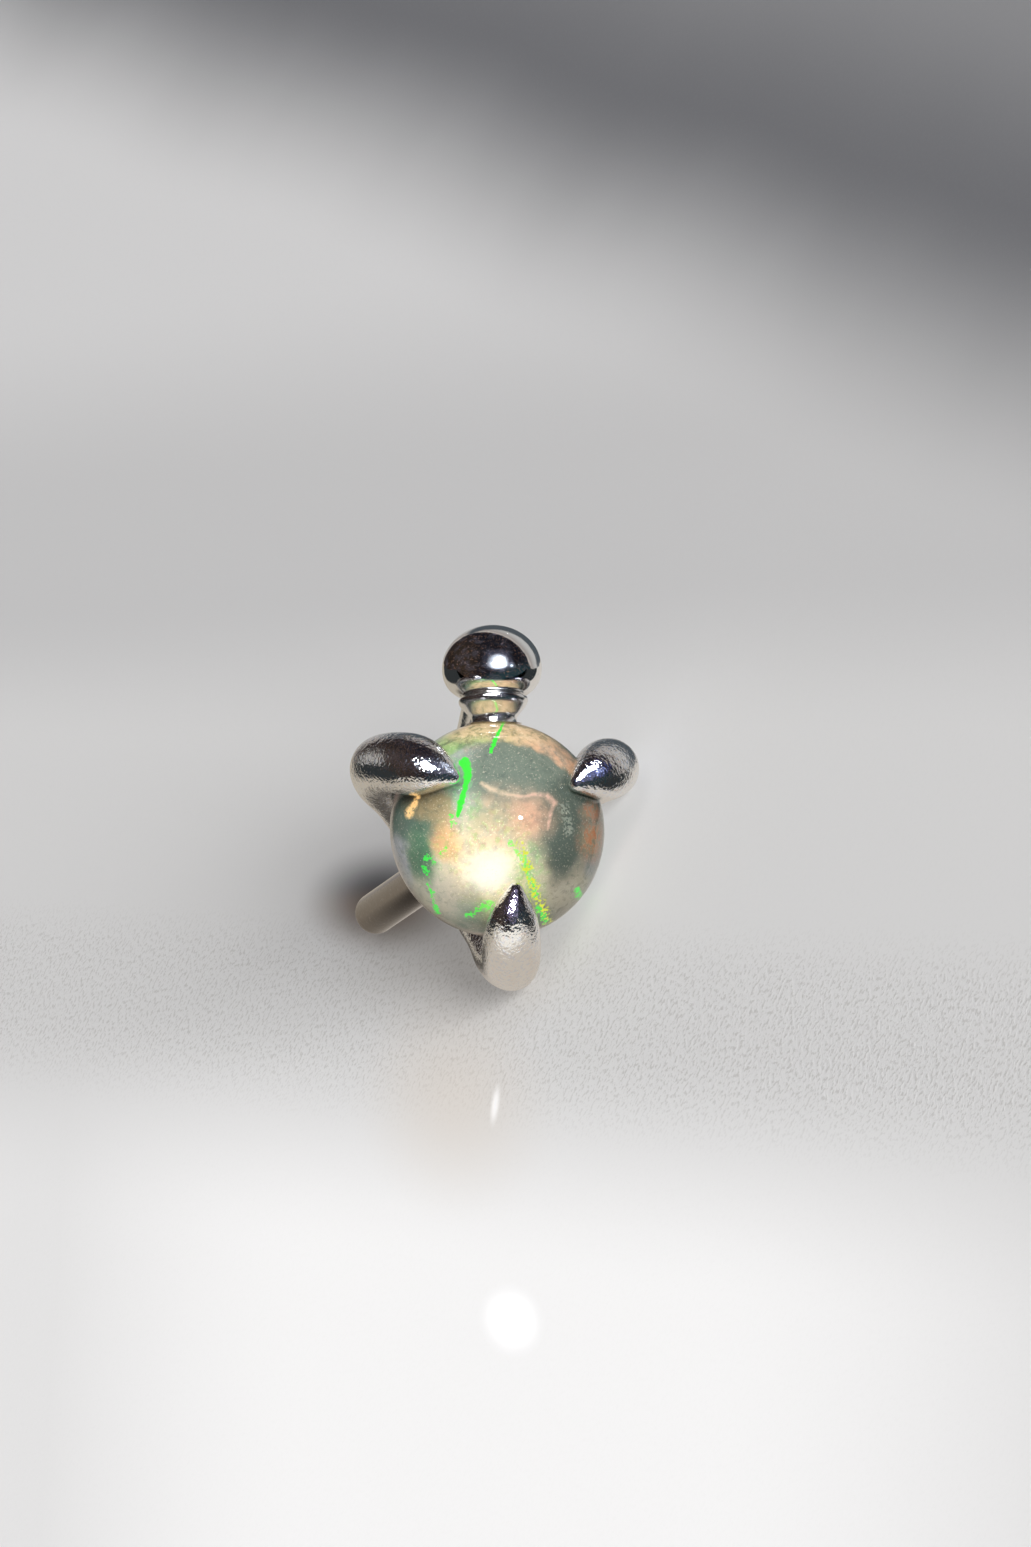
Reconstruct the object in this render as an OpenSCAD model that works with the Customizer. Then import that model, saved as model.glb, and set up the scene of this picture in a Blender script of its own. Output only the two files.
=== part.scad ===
// End of a push-pin piercing jewel: an opal held by three claws, with a bead on a neck beside it and
// a straight plain pin behind. It lies as it rests by itself, on the stone's edge, one claw and the
// pin's end. Millimetres, +Z up, the stone looks towards -Y, the origin is below the box's middle.

/* [Opal] */
// Diameter of the stone at its girdle
stone_d = 2.5; // [2.4:0.1:2.6]
// Height of the dome over the girdle
dome_h = 1.1; // [1.04:0.02:1.14]
// Depth of the rounded back under the girdle
back_h = 1; // [0.6:0.05:1.05]

/* [Claws] */
// Thickness of a claw where it passes the girdle
claw_w = 0.7; // [0.62:0.01:0.74]
// Thickness of an arm where it runs down to the hub
arm_w = 0.46; // [0.42:0.01:0.5]
// Width of a claw's blunt tip
tip_w = 0.15; // [0.12:0.01:0.18]
// Air between the stone and the metal
gap = 0.02; // [0.02:0.01:0.04]

/* [Bead] */
// Width of the bead
bead_d = 1.15; // [1.05:0.01:1.2]
// Height of the bead along its neck
bead_h = 1; // [0.96:0.01:1.1]
// Distance of the bead's middle from the stone's axis
bead_out = 1.88; // [1.86:0.005:1.9]
// How far the bead and neck sit in front of the girdle
bead_up = 0.075; // [0.05:0.005:0.1]
// Width of the neck's collar, just under the bead
collar_d = 0.8; // [0.76:0.01:0.84]
// Width of the neck's waist, at the stone's edge
waist_d = 0.46; // [0.42:0.01:0.5]

/* [Pin] */
// Diameter of the pin
pin_d = 0.5; // [0.45:0.01:0.55]
// How far the pin's end is behind the girdle
pin_end = 5.5; // [5:0.1:6.5]
// Width of the hub that the arms run into
hub_d = 0.9; // [0.84:0.02:1]
// How far the hub's flat back is behind the girdle
hub_back = 2.4; // [2.36:0.01:2.5]

/* [Hidden] */

stone_r = stone_d / 2;
// The three claws: their angles round the stone, how much further in their tips reach in stone radii,
// how full they are near the tip, and how far they lean round the stone in degrees per millimetre up
claw_angles = [27, 150, 273];
claw_reaches = [0.08, 0, 0];
claw_fullness = [1.06, 1.1, 1];
claw_leans = [0, 0, -8.7];
bead_angle = 89.4;
hub_middle = 2;
socket_depth = 0.3;
foot_of_pin_d = pin_d * 0.68;
pin_bevel = 0.06;
ring_sides = 16;
steps = 3;
dome_steps = 18;
bead_steps = 16;

// Centre line of claw i, from its tip over the dome, past the girdle and down to the hub.
// out: distance from the axis in stone radii, up: height over the girdle in stone radii,
// thick: thickness in millimetres
function claw_line(i) =
    let (r = claw_reaches[i], w = claw_w * claw_fullness[i])
    [
        // out, up, thick
        [0.66 - r, 0.735 + r * 0.7, tip_w],
        [0.75 - r * 0.8, 0.7 + r * 0.5, w * 0.44],
        [0.875 - r * 0.35, 0.62 + r * 0.25, w * 0.74],
        [1.03, 0.455, w * 0.93],
        [1.165, 0.225, claw_w],
        [1.225, -0.05, claw_w * 0.97],
        [1.19, -0.32, claw_w * 0.88],
        [1.06, -0.58, (claw_w + arm_w) / 2 - 0.02],
        [0.86, -0.85, arm_w],
        [0.62, -1.14, arm_w],
        [0.36, -1.41, arm_w],
        [0.08, -1.6, arm_w]
    ];

// Centre line of the arm behind the bead, from inside the neck down to the hub, in the same columns
arm_line = [
    // out, up, thick
    [1.25, 0.05, arm_w * 1.16],
    [1.235, -0.11, arm_w * 1.16],
    [1.145, -0.33, arm_w * 1.1],
    [1.01, -0.57, arm_w],
    [0.86, -0.84, arm_w],
    [0.62, -1.14, arm_w],
    [0.36, -1.41, arm_w],
    [0.08, -1.6, arm_w]
];

// Outline of the neck: a cup that opens from its waist at the stone to the collar, and the groove
// under the bead. The bead's lower half is a little shorter than its upper half.
bead_low = bead_h * 0.42;
groove_r = collar_d / 2 - 0.055;
bead_start = acos(groove_r / (bead_d / 2));
groove_out = bead_out - bead_low * sin(bead_start);
foot_out = stone_r + gap + 0.005;
cup = groove_out - foot_out;
flare = (collar_d - waist_d) / 2;
neck_line = [
    // radius, distance from the stone's axis
    [waist_d / 2, foot_out],
    [waist_d / 2 + flare * 0.28, foot_out + cup * 0.17],
    [waist_d / 2 + flare * 0.66, foot_out + cup * 0.41],
    [waist_d / 2 + flare * 0.92, foot_out + cup * 0.64],
    [collar_d / 2, foot_out + cup * 0.86],
    [collar_d / 2 - 0.014, groove_out - 0.014],
    [groove_r, groove_out]
];

// A point between rows i and i + 1 of a table, on the smooth curve through its rows
function row(t, i) = t[max(0, min(len(t) - 1, i))];
function between(t, i, f) =
    let (a = row(t, i - 1), b = row(t, i), c = row(t, i + 1), d = row(t, i + 2))
    0.5 * (2 * b + (c - a) * f + (2 * a - 5 * b + 4 * c - d) * f * f
        + (3 * b - 3 * c + d - a) * f * f * f);
function smooth(t) = concat(
    [for (i = [0 : len(t) - 2], k = [0 : steps - 1]) between(t, i, k / steps)],
    [t[len(t) - 1]]);
function sized(t) = [for (r = t) [r[0] * stone_r, r[1] * stone_r, r[2] / 2]];

// Direction along a line of points at its point i
function along(p, i) =
    let (a = p[max(0, i - 1)], b = p[min(len(p) - 1, i + 1)], d = [b[0] - a[0], b[1] - a[1]])
    d / norm(d);

// A point that would lie inside the stone or its air gap moves out to the gap's surface
function off_stone(q) =
    let (h = (q[2] > 0 ? dome_h : back_h) + gap,
         s = norm([q[0] / (stone_r + gap), q[1] / (stone_r + gap), q[2] / h]))
    s < 1 && s > 0.4 ? q / s : q;

// The rings of a round wire along a centre line of [out, up, radius], in the plane Y = 0
function rings(p) = [for (i = [0 : len(p) - 1])
    let (t = along(p, i))
    [for (k = [0 : ring_sides - 1])
        let (a = 360 * k / ring_sides, side = p[i][2] * cos(a))
        off_stone([p[i][0] - t[1] * side, p[i][2] * sin(a), p[i][1] + t[0] * side])]];

module wire(r) {
    n = ring_sides;
    last = len(r) - 1;
    points = [for (ring = r, q = ring) q];
    sides = [for (i = [0 : last - 1], k = [0 : n - 1], f = [0, 1])
        let (a = i * n + k, b = i * n + (k + 1) % n)
        f == 0 ? [a, b, b + n] : [a, b + n, a + n]];
    ends = [[for (k = [0 : n - 1]) n - 1 - k], [for (k = [0 : n - 1]) last * n + k]];
    polyhedron(points = points, faces = concat(sides, ends), convexity = 4);
}

// A point turned round the stone's axis
function turned(q, a) = [q[0] * cos(a) - q[1] * sin(a), q[0] * sin(a) + q[1] * cos(a), q[2]];

// The rings of each claw, turned to its place round the stone
function placed(q, i) = turned(q, claw_angles[i] + claw_leans[i] * max(q[2], -0.3));
claw_rings = [for (i = [0 : 2])
    [for (ring = rings(smooth(sized(claw_line(i))))) [for (q = ring) placed(q, i)]]];

module claw(i) wire(claw_rings[i]);

module bead_arm() wire(rings(smooth(sized(arm_line))));

// Bead and neck, turned round their own axis, which runs out from the stone's axis
module bead_and_neck() {
    bead = [for (k = [1 : bead_steps])
        let (a = -bead_start + (90 + bead_start) * k / bead_steps)
        [bead_d / 2 * cos(a), bead_out + (a < 0 ? bead_low : bead_h / 2) * sin(a)]];
    rotate([0, 90, 0]) rotate_extrude($fn = 48) polygon(concat([[0, foot_out]], smooth(neck_line), bead));
}

module hub() {
    translate([0, 0, -hub_back]) cylinder(d = hub_d, h = hub_back - hub_middle, $fn = 48);
    translate([0, 0, -hub_middle]) sphere(d = hub_d, $fn = 48);
}

// Lays the head down: its face looks up by face_up, and it is turned by turn round its own axis
module resting() {
    translate([-middle(0), -middle(1), -lowest]) rotate([90 - face_up, 0, 0]) rotate([0, 0, turn]) children();
}

// How far each part reaches along a direction u that is given in the head's own frame
function flat(u) = norm([u[0], u[1]]);
function stone_reach(u) = norm([stone_r * flat(u), (u[2] > 0 ? dome_h : back_h) * u[2]]);
function pin_reach(u) = max([for (b = [0, pin_bevel])
    (pin_d / 2 - pin_bevel + b) * flat(u) - (pin_end - b) * u[2]]);
function claw_reach(u, i) = max([for (ring = claw_rings[i], q = ring) q * u]);
function bead_reach(u) =
    let (out = u * [cos(bead_angle), sin(bead_angle), 0])
    bead_out * out + bead_up * u[2] + norm([bead_h / 2 * out, bead_d / 2 * sqrt(max(0, 1 - out * out))]);
function reach(u) = max(stone_reach(u), pin_reach(u), bead_reach(u),
    max([for (i = [0 : 2]) claw_reach(u, i)]));

// Down as the head's own frame sees it, when the face looks up by f on a head that is turned by t
function down(f, t) = [-sin(t) * cos(f), -cos(t) * cos(f), -sin(f)];

// The angle up at which the pin's end is as low as the stone, found by halving
function level_up(lo, hi, n) =
    let (m = (lo + hi) / 2, u = down(m, 0))
    n == 0 ? m : stone_reach(u) > pin_reach(u) ? level_up(m, hi, n - 1) : level_up(lo, m, n - 1);

// The turn at which the first claw is as low as the stone, found the same way
function level_turn(lo, hi, n) =
    let (m = (lo + hi) / 2, u = down(face_up, m))
    n == 0 ? m : claw_reach(u, 0) > stone_reach(u) ? level_turn(m, hi, n - 1)
        : level_turn(lo, m, n - 1);

face_up = level_up(0, 30, 20);
turn = level_turn(-90, -55, 20);

// A world direction as the head's own frame sees it, and the box's middle and lowest point
function own(w) =
    let (f = 90 - face_up)
    turned([w[0], w[1] * cos(f) + w[2] * sin(f), w[2] * cos(f) - w[1] * sin(f)], -turn);
function middle(i) =
    let (w = [i == 0 ? 1 : 0, i == 1 ? 1 : 0, 0])
    (reach(own(w)) - reach(own(-w))) / 2;
lowest = -reach(own([0, 0, -1]));

module setting() {
    color("silver") resting() difference() {
        union() {
            hub();
            for (i = [0 : 2]) claw(i);
            rotate([0, 0, bead_angle]) bead_arm();
            rotate([0, 0, bead_angle]) translate([0, 0, bead_up]) bead_and_neck();
        }
        foot(gap);
    }
}

module opal() {
    dome = [for (k = [0 : dome_steps]) let (a = 90 * k / dome_steps) [stone_r * cos(a), dome_h * sin(a)]];
    back = [for (k = [dome_steps : -1 : 1]) let (a = 90 * k / dome_steps) [stone_r * cos(a), -back_h * sin(a)]];
    color("palegreen") resting() rotate_extrude($fn = 64) polygon(concat(back, dome));
}

// A straight plain pin, whose slim foot stands in the hub's socket
module pin() {
    long = pin_end - hub_back - gap;
    color("lightsteelblue") resting() {
        translate([0, 0, -pin_end]) {
            cylinder(d1 = pin_d - 2 * pin_bevel, d2 = pin_d, h = pin_bevel, $fn = 48);
            translate([0, 0, pin_bevel]) cylinder(d = pin_d, h = long - pin_bevel, $fn = 48);
        }
        foot(0);
    }
}

// The pin's foot, a cone that starts inside the pin and narrows towards the hub. With air added all
// round it is the socket.
module foot(air) {
    translate([0, 0, -hub_back - gap - 0.2])
        cylinder(d1 = foot_of_pin_d + 2 * air, d2 = foot_of_pin_d * 0.6 + 2 * air,
            h = 0.2 + gap + socket_depth + air, $fn = 48);
}

setting();
opal();
pin();
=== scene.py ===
"""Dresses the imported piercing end: a polished white-metal claw setting, a crystal opal dome and a push pin.

Lengths in the classes are millimetres in the head's own frame, where +Z is the way the stone looks and
the origin is the middle of its girdle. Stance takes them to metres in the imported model's frame.
"""

import logging
import math
from collections.abc import Callable, Iterable
from dataclasses import dataclass, replace
from enum import Enum
from functools import reduce

import bpy
import numpy as np
from mathutils import Matrix, Vector


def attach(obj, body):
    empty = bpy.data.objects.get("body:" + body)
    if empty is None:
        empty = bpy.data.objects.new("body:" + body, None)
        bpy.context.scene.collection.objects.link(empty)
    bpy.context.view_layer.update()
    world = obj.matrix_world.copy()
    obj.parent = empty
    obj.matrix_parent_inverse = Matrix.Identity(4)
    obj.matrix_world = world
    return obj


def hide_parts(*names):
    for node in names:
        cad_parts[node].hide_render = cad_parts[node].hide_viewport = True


log = logging.getLogger("piercing_end")

Triple = tuple[float, float, float]
Row = tuple[float, ...]
Place = tuple["Value", "Value"]
Piece = bpy.types.Object

MM_PER_M = 1000
# The stone's radius, the heights of its dome and its back, and the air gap round it, in mm
STONE_R = 1.25
DOME_H = 1.1
BACK_H = 1.0
GAP = 0.02
# How far behind the girdle the hub ends, in mm
HUB_BACK = 2.4
# Points in a ring of a turned piece, and the angle in degrees from which no edge stays sharp
TURNED_SIDES = 96
ALL_SMOOTH = 180
# The picture's width and height in pixels, and the height of the camera's film in mm
PICTURE = (1031, 1547)
FILM_H = 36
# How deep the unevenness of a polished surface is, in metres
POLISH_DEPTH = 0.00003
# Half the floor's width in metres
FLOOR_HALF = 0.6
# The mirrored ground: half its width and how far it lies below the stone in mm, and its lean in degrees
STRIP_HALF = 40
GROUND_BELOW = 2.05
GROUND_LEAN = 8
# How far away the cards of the mirrored highlights are, in mm, and how solid they are
GLINT_AWAY = 60
GLINT_SOLID = 0.25
# The unit of the floor's own places, in metres
CENTIMETRE = 0.01
BLACK = (0, 0, 0)


# ---- where the head lies and how it is looked at


def cos_sin(degrees: float) -> tuple[float, float]:
    """The cosine and the sine of an angle."""
    return math.cos(math.radians(degrees)), math.sin(math.radians(degrees))


@dataclass(frozen=True)
class Stance:
    """How the head rests: turned round its own axis, then with its face looking up by a little.

    face_up and turn are degrees. girdle is the middle of the stone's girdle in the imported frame, in mm.
    """

    face_up: float = 10.5567
    turn: float = -62.9447
    girdle: Triple = (-0.266349, -2.14216, 1.24243)

    def middle(self) -> np.ndarray:
        """The middle of the girdle in metres."""
        return np.array(self.girdle) / MM_PER_M

    def matrix(self) -> np.ndarray:
        """Rotation from the head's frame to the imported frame: a turn round Z, then a tilt round X."""
        c, s = cos_sin(90 - self.face_up)
        about_x = np.array([[1, 0, 0], [0, c, -s], [0, s, c]])
        c, s = cos_sin(self.turn)
        return about_x @ np.array([[c, -s, 0], [s, c, 0], [0, 0, 1]])

    def place(self, points: np.ndarray) -> np.ndarray:
        """Takes points from millimetres in the head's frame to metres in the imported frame.

        Args:
            points: an array whose last axis is x, y, z.

        Returns:
            An array of the same shape.
        """
        return (points @ self.matrix().T + np.array(self.girdle)) / MM_PER_M


@dataclass(frozen=True)
class Outlook:
    """The direction from which the head is seen, and the pixel at which the stone's middle stands.

    around and above are degrees from the stone's own axis. distance is the camera's, in mm.
    """

    stance: Stance = Stance()
    around: float = 16.0
    above: float = 11.0
    distance: float = 112.5
    pixels_per_mm: float = 86.8
    stone_at: tuple[float, float] = (497.0, 829.5)

    def axes(self) -> np.ndarray:
        """Rows: the picture's right, its up and the way back to the camera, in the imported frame."""
        (ca, sa), (ce, se) = cos_sin(self.around), cos_sin(self.above)
        in_head = np.array([[ca, -sa * se, sa * ce], [0, ce, se], [-sa, -ca * se, ca * ce]])
        return in_head @ self.stance.matrix().T

    def camera(self) -> None:
        """Makes the scene's camera, which frames the picture's height at the stone's distance."""
        right, up, back = self.axes()
        aim = np.array(self.stance.girdle)
        aim = aim + right * (PICTURE[0] / 2 - self.stone_at[0]) / self.pixels_per_mm
        aim = aim + up * (self.stone_at[1] - PICTURE[1] / 2) / self.pixels_per_mm
        data = bpy.data.cameras.new("camera")
        data.sensor_fit = "VERTICAL"
        data.sensor_height = FILM_H
        data.lens = FILM_H * self.distance * self.pixels_per_mm / PICTURE[1]
        data.clip_start, data.clip_end = 0.001, 10
        cam = bpy.data.objects.new("camera", data)
        turn = Matrix(np.stack([right, up, back], axis=1).tolist()).to_4x4()
        cam.matrix_world = Matrix.Translation(Vector((aim + back * self.distance) / MM_PER_M)) @ turn
        bpy.context.collection.objects.link(cam)
        bpy.context.scene.camera = cam


# ---- surfaces


def splined(table: list[Row], steps: int) -> np.ndarray:
    """Smooth curve through the rows of a table: a cubic spline with no bend at its two ends.

    The second differences m solve m[i-1] + 4 m[i] + m[i+1] = 6 (p[i-1] - 2 p[i] + p[i+1]), and each span is
    the cubic with those second differences at its ends.

    Args:
        table: the rows to pass through.
        steps: how many points each span gets.

    Returns:
        One row of numbers per point.
    """
    p = np.array(table, float)
    n = len(p)
    system = np.diag(np.full(n, 4.0)) + np.diag(np.ones(n - 1), 1) + np.diag(np.ones(n - 1), -1)
    system[0, :2], system[-1, -2:] = (1, 0), (0, 1)
    bends = np.zeros_like(p)
    bends[1:-1] = 6 * (p[:-2] - 2 * p[1:-1] + p[2:])
    m = np.linalg.solve(system, bends)
    s = np.arange(steps * (n - 1) + 1) / steps
    i = np.minimum(s.astype(int), n - 2)
    f = (s - i)[:, None]
    g = 1 - f
    return p[i] * g + p[i + 1] * f + (m[i] * (g**3 - g) + m[i + 1] * (f**3 - f)) / 6


def off_stone(points: np.ndarray) -> np.ndarray:
    """Moves points that would lie in the stone or its air gap straight out to the gap's ellipsoid."""
    height = np.where(points[..., 2] > 0, DOME_H, BACK_H) + GAP
    size = np.linalg.norm(points / np.stack([np.full_like(height, STONE_R + GAP)] * 2 + [height], axis=-1), axis=-1)
    inside = (size < 1) & (size > 0.4)
    return np.where(inside[..., None], points / np.maximum(size, 0.4)[..., None], points)


def tube(line: np.ndarray, sides: int, cap: int) -> np.ndarray:
    """Rings of a round wire along a line in the plane Y = 0, with a round cap on each end.

    A ring's point is the line's point plus radius times (cos a across the line + sin a along Y). A cap is part
    of a ball that carries on the wire's own taper: its angle runs from the taper's to 90 degrees, the radius
    goes as the cosine and the way along the line as the sine.

    Args:
        line: rows of distance from the axis, height and radius, in mm.
        sides: points in a ring.
        cap: rings in each cap.

    Returns:
        An array of rings x sides x 3.
    """
    ahead = np.gradient(line[:, :2], axis=0)
    ahead /= np.linalg.norm(ahead, axis=1)[:, None]
    radii = line[:, 2]
    step = np.linalg.norm(line[1, :2] - line[0, :2])
    taper = math.atan((radii[1] - radii[0]) / step)
    ball = radii[0] / math.cos(taper)
    tip = np.linspace(math.pi / 2, taper, cap + 2)[1:-1]
    foot = np.linspace(0, math.pi / 2, cap + 2)[1:-1]
    radius = np.r_[ball * np.cos(tip), radii, radii[-1] * np.cos(foot)]
    centre = np.vstack([line[0, :2] - ahead[0] * ball * (np.sin(tip) - math.sin(taper))[:, None], line[:, :2],
                        line[-1, :2] + ahead[-1] * radii[-1] * np.sin(foot)[:, None]])
    way = np.vstack([np.repeat(ahead[:1], cap, 0), ahead, np.repeat(ahead[-1:], cap, 0)])
    a = np.linspace(0, 2 * math.pi, sides, endpoint=False)
    across = radius[:, None] * np.cos(a)
    return np.stack([centre[:, :1] - way[:, 1:] * across, radius[:, None] * np.sin(a),
                     centre[:, 1:] + way[:, :1] * across], axis=-1)


def eased(radius: float, end: float, ease: float, points: int) -> np.ndarray:
    """Outline of a rounded edge: a quarter circle from the end face at one height out to the radius."""
    a = np.linspace(-math.pi / 2, 0, points)
    return np.stack([radius - ease + ease * np.cos(a), end + ease + ease * np.sin(a)], axis=1)


def turned(outline: np.ndarray, sides: int) -> np.ndarray:
    """Surface of revolution: each outline row (radius, height) becomes a ring of points round Z."""
    a = np.linspace(0, 2 * math.pi, sides, endpoint=False)
    radius, height = outline[:, :1], outline[:, 1:]
    return np.stack([radius * np.cos(a), radius * np.sin(a), height + 0 * a], axis=-1)


def round_z(points: np.ndarray, degrees: float | np.ndarray) -> np.ndarray:
    """Turns points round the Z axis: x' = x cos a - y sin a, y' = x sin a + y cos a."""
    a = np.radians(degrees)
    x, y, z = points[..., 0], points[..., 1], points[..., 2]
    return np.stack([x * np.cos(a) - y * np.sin(a), x * np.sin(a) + y * np.cos(a), z], axis=-1)


def linked(name: str, points: list, faces: list) -> Piece:
    """Makes an object of points and faces at the origin, and links it."""
    mesh = bpy.data.meshes.new(name)
    mesh.from_pydata(points, [], faces)
    piece = bpy.data.objects.new(name, mesh)
    bpy.context.collection.objects.link(piece)
    return piece


def shell(name: str, grid: np.ndarray, crease: float = 50) -> Piece:
    """Makes an object of one closed surface from a grid of rings, with its faces outwards.

    The rings join into quads, and each end ring is closed by a fan to its middle. The signed volume, the sum
    of a . (b x c) / 6 over the triangles, tells which way round the faces go.

    Args:
        name: the object's name.
        grid: an array of rings x sides x 3, in metres.
        crease: the angle in degrees from which an edge stays sharp.

    Returns:
        The linked object, at the origin.
    """
    rows, sides = grid.shape[:2]
    flat = np.vstack([grid.reshape(-1, 3), grid[:1].mean(1), grid[-1:].mean(1)])
    index = np.arange(rows * sides).reshape(rows, sides)
    beside = np.roll(index, -1, axis=1)
    four = np.stack([index[:-1], beside[:-1], beside[1:], index[1:]], axis=-1).reshape(-1, 4)
    first, last = rows * sides, rows * sides + 1
    three = np.vstack([np.stack([beside[0], index[0], np.full(sides, first)], axis=-1),
                       np.stack([index[-1], beside[-1], np.full(sides, last)], axis=-1)])
    corners = np.vstack([four[:, [0, 1, 2]], four[:, [0, 2, 3]], three])
    a, b, c = (flat[corners[:, k]] - flat[0] for k in range(3))
    if np.einsum("ij,ij->", a, np.cross(b, c)) < 0:
        four, three = four[:, ::-1], three[:, ::-1]
    piece = linked(name, flat.tolist(), four.tolist() + three.tolist())
    piece.data.validate()
    piece.data.shade_smooth()
    piece.data.set_sharp_from_angle(angle=math.radians(crease))
    return piece


# ---- shader trees


def math_node(operation: str, last: bool = False) -> Callable:
    """A method of Value that adds a Math node, with the value as its first term or else as its last."""

    def method(self: "Value", *others: "Value | float") -> "Value":
        """Adds the node and hands on what it works out."""
        terms = (*others, self) if last else (self, *others)
        return self.tree.node("ShaderNodeMath", {"operation": operation}, dict(enumerate(terms)))

    return method


class Value:
    """A number that changes over a surface. An expression on values adds its Math nodes."""

    __add__, __radd__ = math_node("ADD"), math_node("ADD", True)
    __sub__, __rsub__ = math_node("SUBTRACT"), math_node("SUBTRACT", True)
    __mul__, __rmul__ = math_node("MULTIPLY"), math_node("MULTIPLY", True)
    __abs__, root = math_node("ABSOLUTE"), math_node("SQRT")
    most, least = math_node("MAXIMUM"), math_node("MINIMUM")

    def __init__(self, tree: "Tree", socket: bpy.types.NodeSocket) -> None:
        """Wraps an output socket of a tree."""
        self.tree, self.socket = tree, socket

    def rise(self, low: "Value | float", high: "Value | float") -> "Value":
        """Smooth step: 0 up to low, 1 from high on, and an S curve between them."""
        return self.tree.node("ShaderNodeMapRange", {"interpolation_type": "SMOOTHSTEP"},
                              {"Value": self, "From Min": low, "From Max": high})

    def fall(self, low: "Value | float", high: "Value | float") -> "Value":
        """Smooth step downwards: 1 up to low and 0 from high on."""
        return 1 - self.rise(low, high)


class Tree:
    """Nodes of one material or world, added one by one."""

    def __init__(self, owner: bpy.types.ID) -> None:
        """Empties the owner's node tree and starts on it."""
        owner.use_nodes = True
        self.nodes, self.links = owner.node_tree.nodes, owner.node_tree.links
        self.nodes.clear()

    def node(self, kind: str, settings: dict, inputs: dict, output: int | str = 0) -> Value:
        """Adds a node.

        Args:
            kind: the node's type.
            settings: its properties, set first.
            inputs: socket name or number to a number, a colour, or a Value that is linked.
            output: the socket to hand on.

        Returns:
            The wrapped output.
        """
        made = self.nodes.new(kind)
        for key, setting in settings.items():
            setattr(made, key, setting)
        for key, given in inputs.items():
            if isinstance(given, Value):
                self.links.new(given.socket, made.inputs[key])
            elif isinstance(given, tuple) and made.inputs[key].type == "RGBA" and len(given) == 3:
                made.inputs[key].default_value = (*given, 1)
            else:
                made.inputs[key].default_value = given
        return Value(self, made.outputs[output])

    def coordinates(self, kind: str = "Object") -> Value:
        """The surface's own coordinates, or the direction of view in a world."""
        return self.node("ShaderNodeTexCoord", {}, {}, kind)

    def mapped(self, vector: Value, turn: np.ndarray, centre: np.ndarray, size: float) -> Value:
        """Coordinates along given axes from a centre, in units of size.

        Args:
            vector: the coordinates to change.
            turn: three rows, the new axes.
            centre: the new origin.
            size: the new unit.

        Returns:
            turn times (vector - centre) / size.
        """
        shift = -(turn @ centre) / size
        angles = Matrix(turn.tolist()).to_euler("XYZ")
        return self.node("ShaderNodeMapping", {"vector_type": "POINT"},
                         {"Vector": vector, "Scale": (1 / size,) * 3, "Rotation": tuple(angles),
                          "Location": tuple(shift)})

    def seen(self, outlook: Outlook, size: float) -> Value:
        """Coordinates along the picture's right, its up and back to the camera, from the girdle's middle."""
        return self.mapped(self.coordinates(), outlook.axes(), outlook.stance.middle(), size)

    def parts(self, vector: Value) -> tuple[Value, Value, Value]:
        """The x, y and z of a vector."""
        made = self.nodes.new("ShaderNodeSeparateXYZ")
        self.links.new(vector.socket, made.inputs[0])
        return tuple(Value(self, out) for out in made.outputs)

    def noise(self, vector: Value, scale: float, detail: float = 2, rough: float = 0.5, colour: bool = False,
              distortion: float = 0) -> Value:
        """Cloudy noise from 0 to 1 with its mean near a half."""
        return self.node("ShaderNodeTexNoise", {},
                         {"Vector": vector, "Scale": scale, "Detail": detail, "Roughness": rough,
                          "Distortion": distortion}, "Color" if colour else 0)

    def dot(self, vector: Value, way: np.ndarray) -> Value:
        """How far a vector goes along a fixed way."""
        return self.node("ShaderNodeVectorMath", {"operation": "DOT_PRODUCT"},
                         {0: vector, 1: tuple(float(v) for v in way)}, "Value")

    def mix(self, factor: Value | float, first: "Value | tuple", second: "Value | tuple", how: str = "MIX") -> Value:
        """Mixes two colours by a factor."""
        return self.node("ShaderNodeMix", {"data_type": "RGBA", "blend_type": how, "clamp_factor": True},
                         {0: factor, 6: first, 7: second}, 2)

    def layered(self, colour: "Value | tuple", *layers: tuple) -> Value:
        """Lays colours over a first one in turn, each with its own factor."""
        for factor, over in layers:
            colour = self.mix(factor, colour, over)
        return colour

    def bump(self, height: Value, strength: Value | float, deep: float) -> Value:
        """The normals of an uneven surface, whose hollows are up to so many metres deep."""
        return self.node("ShaderNodeBump", {}, {"Strength": strength, "Distance": deep, "Height": height})

    def finish(self, shader: Value, kind: str = "ShaderNodeOutputMaterial") -> None:
        """Links the shader to the output."""
        self.links.new(shader.socket, self.nodes.new(kind).inputs["Surface"])

    def surface(self, inputs: dict) -> None:
        """Finishes a material with a principled surface that has these inputs."""
        self.finish(self.node("ShaderNodeBsdfPrincipled", {}, inputs))


def new_material(name: str) -> tuple[bpy.types.Material, Tree]:
    """Makes an empty material and its tree. Its glow isn't sampled as a lamp, which would take minutes."""
    material = bpy.data.materials.new(name)
    material.cycles.emission_sampling = "NONE"
    return material, Tree(material)


# ---- finishes


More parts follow.
